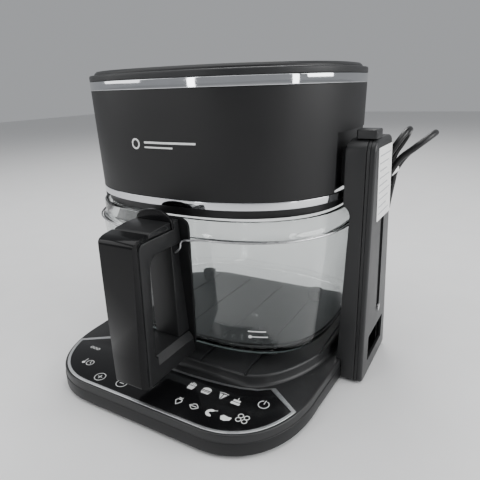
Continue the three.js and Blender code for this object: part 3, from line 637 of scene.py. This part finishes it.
def make_head():
    low, high = BODY_LOW[2], BODY_HIGH[2]
    shell = oval_piece("head_body_skin", ring_profile(low, high, 2.6, 0, 0.4))
    filling = [(0.0, low), (wall_at(low) - 0.3, low), (wall_at(high) - 0.3, high), (0.0, high)]
    liners, recesses = [], []
    for side in (-1, 1):
        x0, x1 = span_x(side, RECESS["x"] - LINER_WALL, 140)
        liner = cuboid("liner", (x0, RECESS["y0"] - LINER_WALL, low),
                       (x1, RECESS["y1"] + LINER_WALL, RECESS["top"] + LINER_WALL))
        liners.append(carve(liner, oval_piece("cutter", filling), operation="INTERSECT"))
        x0, x1 = span_x(side, RECESS["x"], 150)
        recesses.append(cuboid("cutter", (x0, RECESS["y0"], 100), (x1, RECESS["y1"], RECESS["top"])))
    for liner in liners:
        shell = carve(shell, liner, operation="UNION")
    place(carve(shell, *recesses), "base", "head", "head_coating", "head_body")

    for node in ("lower_band", "upper_band"):
        low, high = box(node)
        band = oval_piece(f"{node}_skin", ring_profile(low[2], high[2], 2.2, 0.3, 0.45))
        place(band, "base", "chrome", "bright_band", node)

    low, high = box("head_skirt")
    skirt = oval_piece("head_skirt_skin", rounded([
        (SKIRT["inner"], low[2]), (SKIRT["low"], low[2], 0.8),
        (SKIRT["high"], high[2]), (SKIRT["inner"], high[2]),
    ], 4))
    place(skirt, "base", "black", "black_plastic", "head_skirt")

    low, high = box("cap_rim")
    lid_low, lid_high = box("head_lid")
    width, lid_width = high[0], lid_high[0]
    rim = oval_piece("cap_rim_skin", rounded([
        (lid_width + 0.3, low[2]), (width, low[2], 0.5),
        (width, high[2], 1.8), (lid_width + 0.3, high[2], 0.3),
    ], 6))
    place(rim, "base", "lid", "head_coating", "cap_rim")
    top, flange = lid_high[2], lid_width - 3
    edge = rounded([(lid_width, lid_low[2]), (lid_width, top - 2.2, 0.6), (lid_width - 2.4, top, 0.8)], 4)
    under = [(0.0, high[2] + 0.8), (flange, high[2] + 0.8), (flange, lid_low[2])]
    lid = oval_piece("head_lid_skin", [*under, *edge, (0.0, top)])
    place(lid, "base", "lid", "black_plastic", "head_lid")


# ---------------------------------------------------------------- bowl and handle

BOWL_LOW, BOWL_HIGH = box("glass_bowl")
RING_Z = 150.2
RING_WIDTH = BOWL_HIGH[0]
FOOT_WIDTH = 116.6
HEEL = 11  # height of the rounded heel
RING_EDGE = (0.5, 1.8)  # how far the ring's lower corner is in from and below its widest line
WIRE = {"radius": 0.8, "centre_out": 1.2, "gap": 0.27}  # the gap in front is an angle, in radians


def bowl_power(z):
    """The bowl is squarer at its foot than at its ring."""
    rise = min(max((z - BOWL_LOW[2]) / (RING_Z - BOWL_LOW[2]), 0), 1)
    return FOOT_POWER + (RING_POWER - FOOT_POWER) * rise


def make_bowl():
    foot, rim, ring, width, base = BOWL_LOW[2], BOWL_HIGH[2], RING_Z, RING_WIDTH, FOOT_WIDTH
    outer = [
        (0.0, foot), (base - 0.8, foot + 0.3, 7), (base, foot + HEEL, 2),
        (width - RING_EDGE[0], ring - RING_EDGE[1], 0.8), (width, ring, 0.8), (width - 1.5, ring + 1.8, 0.8),
        (width - 3.2, ring + 4.4, 1.5), (width - 3.5, rim, 0.9),
    ]
    inner = [
        (width - 7, rim, 0.9), (width - 6.6, ring + 3.6, 1.5), (width - 4.2, ring - 0.6, 1.5),
        (base - 3.8, foot + 13, 2), (base - 4.4, foot + 4.4, 7), (0.0, foot + 4.2),
    ]
    bowl = oval_piece("glass_bowl_skin", rounded(outer + inner, 4), 168, 60, bowl_power)
    place(bowl, "bowl", "glass", "clear_glass", "glass_bowl")

    gap, steps, z = WIRE["gap"], 96, RING_Z
    around = []
    for i in range(steps + 1):
        a = -pi / 2 - gap - i / steps * 2 * (pi - gap)
        around.append((*oval_at(RING_WIDTH + WIRE["centre_out"], a, RING_POWER), z))
    hook = [(13.8, -85.8, z - 11), (16, -85.6, z - 9.6), (18.7, -85.2, z - 6.5), (19.3, -84.6, z - 2.5),
            (21.5, -83.8, z - 0.2), (26, -82.7, z)]
    path = smooth_path([(-x, y, h) for x, y, h in hook])[:-1] + around + smooth_path(hook[::-1])[1:]
    place(tube("hoop_wire_skin", path, WIRE["radius"], 12), "bowl", "steel", "steel", "hoop_wire")


GRIP_LOW, GRIP_HIGH = box("grip_front")
HALF = GRIP_HIGH[0]
GRIP = {"front_top": -136.4, "front_bottom": -139.9, "cover": 5.5, "gap": 0.3, "nose": 10}
LOOP = {"top": 167, "inner_top": 147, "inner_bottom": 61.5, "inner_front": (-119.6, -125), "back": -82.6}
TAB_LOW, TAB_HIGH = box("thumb_tab")
TAB_BASE = 163
BRACKET = {
    "half_width": 26, "half_foot": 17, "bottom": 47.5, "top": 167.6, "rear_bottom": -69.4, "rear_top": -79.9,
    "plate": 2.3,
}
# the rib up the bracket's front, between the two arms of the loop
SPINE = [(-88.5, 61.9), (-88.5, 146.6), (-79.5, 146.6), (-73, 61.9)]


def make_handle():
    """The C-shaped loop, its front and top covers, the thumb tab and the bracket on the glass."""
    bottom = GRIP_LOW[2]
    back = LOOP["back"]
    behind_cover = GRIP["cover"] + GRIP["gap"]
    loop = rounded([
        (GRIP["front_bottom"] + behind_cover, bottom, 2), (GRIP["front_top"] + behind_cover, 156.5, 4),
        (-127, 160), (-89.5, 160.6), (-89.5, 166.6), (back, LOOP["top"]), (back + 1.6, LOOP["inner_top"]),
        (LOOP["inner_front"][0], LOOP["inner_top"], 10), (LOOP["inner_front"][1], LOOP["inner_bottom"], 7),
        (-74.6, LOOP["inner_bottom"]), (-72.6, 47), (-72.2, bottom),
    ])
    body = slab("handle_body_skin", loop, "x", rims(-HALF, HALF, 1.2, 1.2, 4))
    for side in (-1, 1):
        wedge = [(side * (HALF - 4.4), 61.7), (side * (HALF + 0.5), 54.6), (side * (HALF + 0.5), 61.7)]
        body = carve(body, cutter(wedge, "y", 70, 121.5))
    place(body, "bowl", "black", "black_plastic", "handle_body")

    front = rounded([
        (GRIP["front_bottom"], bottom, 3), (-139.6, 66), (GRIP["front_top"], 161, 3), (-130.5, 164, 3),
        (-120.4, 165.2), (-120.4, 160.8), (-127.3, 160.4), (GRIP["front_top"] + GRIP["cover"], 157, 2),
        (GRIP["front_bottom"] + GRIP["cover"], bottom),
    ])
    grip = slab("grip_front_skin", front, "x", rims(-HALF, HALF, 0.5, 0.5, 3))
    wide, nose = HALF + 0.2, GRIP["front_bottom"] - 1
    plan = rounded([(-wide, -100), (-wide, nose, GRIP["nose"]), (wide, nose, GRIP["nose"]), (wide, -100)], 10)
    grip = carve(grip, cutter(plan, "z", 0, 200), operation="INTERSECT")
    place(grip, "bowl", "gloss", "gloss_black", "grip_front")

    outline = rounded([(-120, 161.2), (-118.6, 165.4, 2), (-106, 167.2, 6), (-92.9, 167.2, 1), (-92.9, 161)])
    top = slab("handle_top_skin", outline, "x", rims(-HALF, HALF, 1.2, 1.2, 4))
    place(top, "bowl", "black", "black_plastic", "handle_top")

    half, height = TAB_HIGH[0], TAB_HIGH[2] - TAB_BASE
    arch = []
    for i in range(49):
        a = i / 48 * pi
        arch.append((half * copysign(abs(cos(a)) ** 0.95, cos(a)), TAB_BASE + height * sin(a) ** 0.8))
    outline = [*arch, (-half, 161.2), (half, 161.2)]
    tab = slab("thumb_tab_skin", outline, "y", rims(-TAB_HIGH[1], -TAB_LOW[1], 0.8, 0.8, 5))
    place(tab, "bowl", "gloss", "gloss_black", "thumb_tab")

    low, high, plate = BRACKET["bottom"], BRACKET["top"], BRACKET["plate"]
    rear_low, rear_high = BRACKET["rear_bottom"], BRACKET["rear_top"]
    side = [(rear_low, low), (rear_low - plate, low), (rear_high - plate, high), (rear_high, high)]
    wide, narrow = BRACKET["half_width"], BRACKET["half_foot"]
    sheet = slab("handle_bracket_skin", side, "x", [(-wide - 1, 0), (wide + 1, 0)])
    plan = rounded([(-narrow, low, 3), (-wide, high, 9), (wide, high, 9), (narrow, low, 3)], 10)
    sheet = carve(sheet, cutter(plan, "y", 60, 100), operation="INTERSECT")
    spine = slab("spine", SPINE, "x", rims(-12.5, 12.5, 0.6, 0.6, 3))
    place(carve(sheet, spine, operation="UNION"), "bowl", "black", "black_plastic", "handle_bracket")


# ---------------------------------------------------------------- mains lead

CORD_DIAMETER = 6.2
EXIT_X, EXIT_Z = 134, 85
# the hank's middle line, half its width, how far it hangs below the tie, and its lean there in degrees
HANK = {"y": 117, "z": 186, "span": 20, "below": 45, "lean": 7}
SOFTNESS = 10  # the height over which a turn bends at the tie
# for each turn: its x, its tilt above the tie in degrees, and how far it stands above the tie
TURNS = [(137.6, 50, 29), (130.8, 31, 20), (124, 10, 4)]
LEAD_IN = [
    (EXIT_X, 78, EXIT_Z), (EXIT_X, 92, EXIT_Z), (EXIT_X, 104, EXIT_Z), (EXIT_X, 112, EXIT_Z),
    (133.8, 122, 88.5), (133, 129.5, 96), (131.6, 134, 106), (130.4, 136.2, 116), (129.9, 136.8, 126),
]
LEAD_OUT = [
    (116.2, 97.6, 124), (116.2, 99.6, 117), (116.3, 103, 111), (116.4, 107.4, 106), (116.5, 110.8, 101),
    (116.5, 111.8, 96), (116.5, 112, 92),
]


def bent(x, y, z, tilt):
    """Above the tie a turn leans over softly; below it the hank leans back towards the column."""
    rise = z - HANK["z"]
    soft = sqrt(rise * rise + SOFTNESS * SOFTNESS)
    above, below = 0.5 * (rise + soft), 0.5 * (rise - soft)
    lean = radians(tilt)
    return x + above * sin(lean) + below * sin(radians(HANK["lean"])), y, z - above * (1 - cos(lean))


def lead_points():
    """The lead's route: up the hank's rear side, over, down its front side and under, for each turn."""
    points = list(LEAD_IN)
    middle, r = HANK["y"], HANK["span"]
    low = HANK["z"] - HANK["below"]
    half_turn = [k / 8 for k in range(9)]
    for index, (x, tilt, above) in enumerate(TURNS):
        high = HANK["z"] + above
        rising = (136, 150, 164, 178) if index == 0 else (150, 170)
        over_tie = [HANK["z"] + above * 0.4] if above > 12 else []
        for z in [*rising, *over_tie]:
            points.append(bent(x, middle + r, z, tilt))
        for share in half_turn:
            a = share * pi
            points.append(bent(x, middle + r * cos(a), high + r * sin(a), tilt))
        for z in [*over_tie, 172, 150]:
            points.append(bent(x, middle - r, z, tilt))
        if index == len(TURNS) - 1:
            points.append(bent(x, middle - r + 0.3, 136, tilt))
            break
        step = TURNS[index + 1][0] - x
        for share in half_turn:
            a = share * pi
            points.append(bent(x + step * share, middle - r * cos(a), low - r * sin(a), tilt))
    return points + list(LEAD_OUT)


def make_relief():
    """A ribbed sleeve that narrows away from the column."""
    low, high = box("strain_relief")
    steps = 28
    line, radii = [], []
    for i in range(steps + 1):
        t = i / steps
        line.append((EXIT_X, low[1] + t * (high[1] - low[1]), EXIT_Z))
        rib = 0.5 if (i % 4 in (1, 2)) and 0.25 < t < 0.95 else 0.0
        radii.append(6 - 2.1 * t - rib)
    return place(tube("strain_relief_skin", line, radii, 28), "base", "rubber", "rubber", "strain_relief")


def make_plug():
    (x0, y0, tip), (x1, y1, top) = box("plug")
    body_low = 66.0
    cx, cy = (x0 + x1) / 2, (y0 + y1) / 2
    outline = rounded([(x0, y0, 5), (x0, y1, 5), (x1, y1, 5), (x1, y0, 5)])
    rings = [(body_low, 1.2), (body_low + 0.5, 0.4), (body_low + 1.4, 0), (82, 0.3), (88, 1.6), (93, 2.6),
             (97.6, 3.4), (top, 4.6)]
    plug = slab("plug_body", outline, "z", rings)
    pins = []
    for i, dx in enumerate((-5, 5)):
        line = [(cx + dx, cy, tip), (cx + dx, cy, tip + 1), (cx + dx, cy, body_low + 1)]
        pins.append(tube(f"pin_{i}", line, [1.5, 2.0, 2.0], 20))
    for pin in pins:
        plug = carve(plug, pin, operation="UNION")
    return place(plug, "base", "rubber", "rubber", "plug")


def make_tie():
    low, high = box("cord_tie")
    x0, x1, y0, y1 = low[0] + 0.5, high[0] - 0.5, low[1] + 0.5, high[1] - 0.5
    ring = rounded([(x0, y0, 4), (x0, y1, 4), (x1, y1, 4), (x1, y0, 4)])
    tie = slab("cord_tie_skin", ring, "z", rims(low[2], high[2], 0.3, 0.3, 2))
    tie = carve(tie, cutter(inset(ring, 0.9), "z", low[2] - 2, high[2] + 2))
    return place(tie, "base", "white", "label_paper", "cord_tie")


def make_lead():
    points = smooth_path(lead_points())
    curve = bpy.data.curves.new("mains_lead", "CURVE")
    curve.dimensions = "3D"
    curve.bevel_depth = CORD_DIAMETER / 2 * MM
    curve.bevel_resolution = 6
    curve.use_fill_caps = True
    spline = curve.splines.new("POLY")
    spline.points.add(len(points) - 1)
    for target, point in zip(spline.points, points):
        target.co = (*(point * MM), 1)
    lead = bpy.data.objects.new("mains_lead", curve)
    curve.materials.append(MATERIALS["cord"])
    bpy.context.scene.collection.objects.link(lead)

    relief, plug, tie = make_relief(), make_plug(), make_tie()
    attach(lead, "base")
    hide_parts("cord_lead_in", "cord_hank", "cord_lead_out")


# ---------------------------------------------------------------- print on the panel, the bowl and the label

INK = 0.09  # thickness of the print
LINE = 0.6  # width of its lines


def filled(outline, low):
    return slab("fill", outline, "z", [(low, 0), (low + INK, 0)])


def stroke(points, low):
    """A flat ribbon along points on a level surface, as a thin closed prism."""
    path = [Vector((*p, 0)) for p in points]
    left, right = [], []
    for i, point in enumerate(path):
        ahead = (path[min(i + 1, len(path) - 1)] - path[max(i - 1, 0)]).normalized()
        side = Vector((-ahead.y, ahead.x, 0)) * LINE / 2
        left.append(point + side)
        right.append(point - side)
    return filled([(v.x, v.y) for v in left] + [(v.x, v.y) for v in reversed(right)], low)


def arc(cx, cy, rx, ry=None, start=0.0, end=2 * pi, steps=24):
    ry = rx if ry is None else ry
    turn = [start + (end - start) * i / steps for i in range(steps + 1)]
    return [(cx + rx * cos(a), cy + ry * sin(a)) for a in turn]


def circle(cx, cy, radius, steps):
    return arc(cx, cy, radius, steps=steps)[:-1]


def loop_stroke(points, low):
    """A closed ribbon: the outline of a shape."""
    outer = filled(inset(points, -LINE / 2), low)
    return carve(outer, cutter(inset(points, LINE / 2), "z", low - 1, low + 1 + INK))


def moved(cx, cy, points):
    return [(cx + x, cy + y) for x, y in points]


BACK_ROW, FRONT_ROW = -95.4, -116.6  # the y of the two rows of food symbols


def panel_symbols(z):
    """Plain pictograms: lines, outlines and filled shapes, in white print on the touch glass."""
    lines, loops, fills = [], [], []

    fries = (28.4, BACK_ROW)
    fills.append(moved(*fries, [(-3.4, -0.2), (-2.6, -4.6), (2.6, -4.6), (3.4, -0.2)]))
    for dx, height in ((-2.5, 3.0), (-0.85, 4.4), (0.85, 3.8), (2.5, 2.8)):
        x0, x1 = dx - 0.6, dx + 0.6
        fills.append(moved(*fries, [(x0, 0.5), (x1, 0.5), (x1, height), (x0, height)]))

    burger = (43.2, BACK_ROW)
    fills.append(arc(burger[0], burger[1] + 0.7, 4.3, 3.3, 0, pi, 16))
    lines.append(moved(*burger, [(-4.4, -0.6), (4.4, -0.6)]))
    fills.append(moved(*burger, [(-4.3, -1.7), (4.3, -1.7), (3.3, -3.9), (-3.3, -3.9)]))

    pizza = (58.7, BACK_ROW)
    fills.append(moved(*pizza, [(-3.6, 2.6), (-0.5, 2.6), (-0.5, -3.6)]))
    fills.append(moved(*pizza, [(0.5, -3.6), (0.5, 2.6), (3.6, 2.6)]))
    lines.append(moved(*pizza, [(-4.4, 3.8), (0, 4.5), (4.4, 3.8)]))

    cake = (72.8, BACK_ROW)
    fills.append(moved(*cake, [(-4, -4), (4, -4), (4, -1.4), (-4, -1.4)]))
    fills.append(moved(*cake, [(-3.2, -0.6), (3.2, -0.6), (3.2, 1.6), (-3.2, 1.6)]))
    lines.append(moved(*cake, [(0, 2.2), (0, 4.4)]))

    root = (30, FRONT_ROW)
    loops.append(moved(*root, [(0, -4.4), (-2.8, -0.5), (-2.2, 1.8), (2.2, 1.8), (2.8, -0.5)]))
    for dx in (-1.6, 0, 1.6):
        lines.append(moved(*root, [(dx * 0.5, 2.0), (dx, 4.4)]))

    leaf = (45.2, FRONT_ROW)
    upper = [(-4 + 8 * t / 12, 3.0 * sin(pi * t / 12)) for t in range(13)]
    lower = [(4 - 8 * t / 12, -3.0 * sin(pi * t / 12)) for t in range(1, 12)]
    loops.append(moved(*leaf, upper + lower))
    lines.append(moved(*leaf, [(-4.6, 0), (2.4, 0)]))

    shrimp = (61.1, FRONT_ROW)
    back = arc(*shrimp, 4.1, 4.1, 0.3 * pi, 1.7 * pi, 20)
    belly = arc(*shrimp, 1.5, 1.5, 1.6 * pi, 0.4 * pi, 14)
    fills.append(back + belly)
    lines.append(moved(*shrimp, [(1.6, 3.4), (4.2, 4.4)]))

    steak = (74.6, FRONT_ROW)
    fills.append(moved(*steak, [
        (-4.6, 0.6), (-2.8, 2.8), (1.4, 2.2), (4.6, 2.6), (4.2, -0.8), (0.4, -2.9), (-3, -2.6),
    ]))

    fan = (86.9, -110.3)
    for blade in moved(*fan, [(-2.6, 1.7), (2.6, 1.7), (-2.6, -2.7), (2.6, -2.7)]):
        loops.append(circle(*blade, 2.1, 18))

    power = (94.0, -88.8)
    lines.append(arc(*power, 4.4, 4.4, 0.62 * pi, 2.38 * pi, 28))
    lines.append(moved(*power, [(0, 0.4), (0, 5.2)]))

    # three plain rings at the left stand for a short legend
    for x in (-97.4, -93.2, -89.0):
        loops.append(circle(x, -91, 1.5, 16))

    clock, thermometer = (-78.3, -111.6), (-85, -113.6)
    loops.append(circle(*clock, 3.6, 24))
    lines.append(moved(*clock, [(0, 2.2), (0, 0), (1.6, -0.8)]))
    lines.append(moved(*thermometer, [(0, 1.4), (0, 6.2)]))
    fills.append(circle(*thermometer, 1.6, 14))

    plus, minus = (-53.2, -123.1), (-29, -121)
    for key in (plus, minus):
        loops.append(circle(*key, 5.0, 28))
        lines.append(moved(*key, [(-2.4, 0), (2.4, 0)]))
    for end in (2.4, -2.4):
        lines.append(moved(*plus, [(0, copysign(0.35, end)), (0, end)]))

    low = z + 0.012
    pieces = [stroke(p, low) for p in lines]
    pieces += [loop_stroke(p, low) for p in loops]
    pieces += [filled(p, low) for p in fills]
    place(joined("panel_symbols", pieces), "base", "white", "label_paper")


def oval_front(x, radius, power):
    return OVAL_Y - radius * OVAL_RATIO * (1 - (abs(x) / radius) ** power) ** (1 / power)


def bowl_front(x, z):
    """The y of the bowl's outer wall in front, between its heel and its ring."""
    low, high = BOWL_LOW[2] + HEEL, RING_Z - RING_EDGE[1]
    share = (z - low) / (high - low)
    return oval_front(x, FOOT_WIDTH + (RING_WIDTH - RING_EDGE[0] - FOOT_WIDTH) * share, bowl_power(z))


def head_front(x, z):
    return oval_front(x, wall_at(z), OVAL_POWER)


def printed(front, upper, lower):
    """A thin strip of print between two rows of (x, z) points on a front wall."""
    count = len(upper)
    verts = []
    for lift in (0.02, 0.12):
        for row in (upper, lower):
            verts += [(x, front(x, z) - lift, z) for x, z in row]
    faces = []
    for i in range(count - 1):
        for a, b in ((0, 1), (2, 3), (0, 2), (1, 3)):
            a, b = a * count + i, b * count + i
            faces.append((a, a + 1, b + 1, b))
    for i in (0, count - 1):
        faces.append((i, count + i, 3 * count + i, 2 * count + i))
    return mesh_object("print", verts, faces)


def printed_bar(front, x0, x1, z, height, steps=20):
    xs = [x0 + (x1 - x0) * i / steps for i in range(steps + 1)]
    return printed(front, [(x, z + height / 2) for x in xs], [(x, z - height / 2) for x in xs])


def printed_arc(front, x, z, radius, inner, start, end, steps=28):
    turn = [start + (end - start) * i / steps for i in range(steps + 1)]
    return printed(front, [(x + radius * cos(a), z + radius * sin(a)) for a in turn],
                   [(x + inner * cos(a), z + inner * sin(a)) for a in turn])


def make_print():
    panel_symbols(box("touch_panel")[1][2])
    marks = [
        printed_bar(bowl_front, 67.6, 81.8, 69.8, 1.1),
        printed_bar(bowl_front, 70.4, 83, 64.5, 1.0),
        printed_arc(bowl_front, 69.2, 64.5, 1.5, 0.1, 0.0, 1.98 * pi),
    ]
    place(joined("level_marks", marks), "bowl", "white", "label_paper")
    mark = [
        printed_arc(head_front, -25.5, 223.8, 4.4, 3.0, -pi, pi),
        printed_bar(head_front, -16, 33, 225.2, 1.6),
        printed_bar(head_front, -16, 12, 221.4, 1.2),
    ]
    place(joined("front_mark", mark), "base", "white", "label_paper")
    make_label()


RULES = {"count": 9, "top": 208, "pitch": 6.2, "thickness": 1.1}


def make_label():
    """The blank rating label, with grey rules where the print would be."""
    low, high = box("rating_label")
    back, face = low[0], high[0]
    outline = rounded([(9.5, 215.6, 1.5), (16.4, 153, 1.5), (64, 152, 1.5), (55, 215.2, 1.5)])
    label = slab("rating_label_skin", outline, "x", [(back, 0), (face - 0.05, 0), (face, 0.1)])
    place(label, "base", "label", "label_paper", "rating_label")
    rules = []
    for k in range(RULES["count"]):
        z = RULES["top"] - k * RULES["pitch"]
        share = (215.4 - z) / 63  # from the label's top to its foot
        y0 = 13.5 + 6.9 * share
        y1 = 50 + 9 * share - (k * 7 % 5) * 3.1
        top = z + RULES["thickness"]
        rule = [(y0, z), (y1, z), (y1, top), (y0, top)]
        rules.append(slab("rule", rule, "x", [(face + 0.01, 0), (face + 0.05, 0)]))
    place(joined("label_rules", rules), "base", "grey_ink", "label_paper")


# ---------------------------------------------------------------- CAD nodes that keep their shape

KEPT = {
    "board": ["power_board", "touch_board"],
    "rubber": [*(f"{kind}_foot_{i}" for kind in ("rubber", "bowl") for i in range(1, 5)), "wiring_harness"],
    "copper": ["temperature_probe"],
    "steel": [
        *(f"base_screw_{i}" for i in range(1, 5)),
        *(f"{kind}_screw_{hand}" for kind in ("column", "head") for hand in ("left", "right")),
        "handle_screw", "air_duct", "heat_reflector", "heater_coil", "heater_guard", "fan_motor",
        "motor_bracket", "fan_blade", "motor_shaft",
    ],
}


def dress_kept():
    for material, nodes in KEPT.items():
        for node in nodes:
            piece = bpy.data.objects[node]
            for slot in piece.material_slots:
                slot.material = MATERIALS[material]
            soften(piece)


# ---------------------------------------------------------------- floor and light

FLOOR_REACH = 4000


def softbox(name, place_at, target, size, power):
    """A rectangular lamp that faces its target; places and sizes in metres, power in watts."""
    data = bpy.data.lights.new(name, "AREA")
    data.shape = "RECTANGLE"
    data.size, data.size_y = size
    data.energy = power
    light = bpy.data.objects.new(name, data)
    light.location = place_at
    aim = Vector(target) - Vector(place_at)
    light.rotation_euler = aim.to_track_quat("-Z", "Y").to_euler()
    bpy.context.scene.collection.objects.link(light)


def make_floor():
    corners = [(x * FLOOR_REACH, y * FLOOR_REACH, 0) for x, y in ((-1, -1), (1, -1), (1, 1), (-1, 1))]
    mesh = bpy.data.meshes.new("floor")
    mesh.from_pydata([Vector(v) * MM for v in corners], [], [(0, 1, 2, 3)])
    mesh.materials.append(MATERIALS["floor"])
    floor = bpy.data.objects.new("floor", mesh)
    bpy.context.scene.collection.objects.link(floor)


def make_light():
    world = bpy.data.worlds.new("studio")
    world.use_nodes = True
    background = world.node_tree.nodes["Background"]
    background.inputs["Color"].default_value = (0.9, 0.92, 0.95, 1)
    background.inputs["Strength"].default_value = 0.42
    bpy.context.scene.world = world
    softbox("overhead", (-0.1, -0.1, 1.3), (0, 0, 0.1), (1.4, 1.2), 13)
    softbox("left", (-1.2, -0.7, 0.8), (0, 0, 0.15), (0.9, 1.1), 8)
    softbox("right", (1.3, 0.2, 0.7), (0.1, 0, 0.12), (0.9, 0.9), 16)
    softbox("behind", (-0.5, 1.2, 1.5), (0, 0, 0.1), (0.7, 0.5), 14)
    softbox("strip_left", (-0.45, -1.3, 0.5), (0, 0, 0.2), (0.12, 0.9), 3)
    softbox("strip_right", (1.15, -0.45, 0.5), (0, 0, 0.2), (0.16, 0.9), 3)


make_lead()
make_base()
for side, side_name in ((-1, "left"), (1, "right")):
    make_column(side, side_name)
make_head()
make_bowl()
make_handle()
make_print()
dress_kept()
make_floor()
make_light()
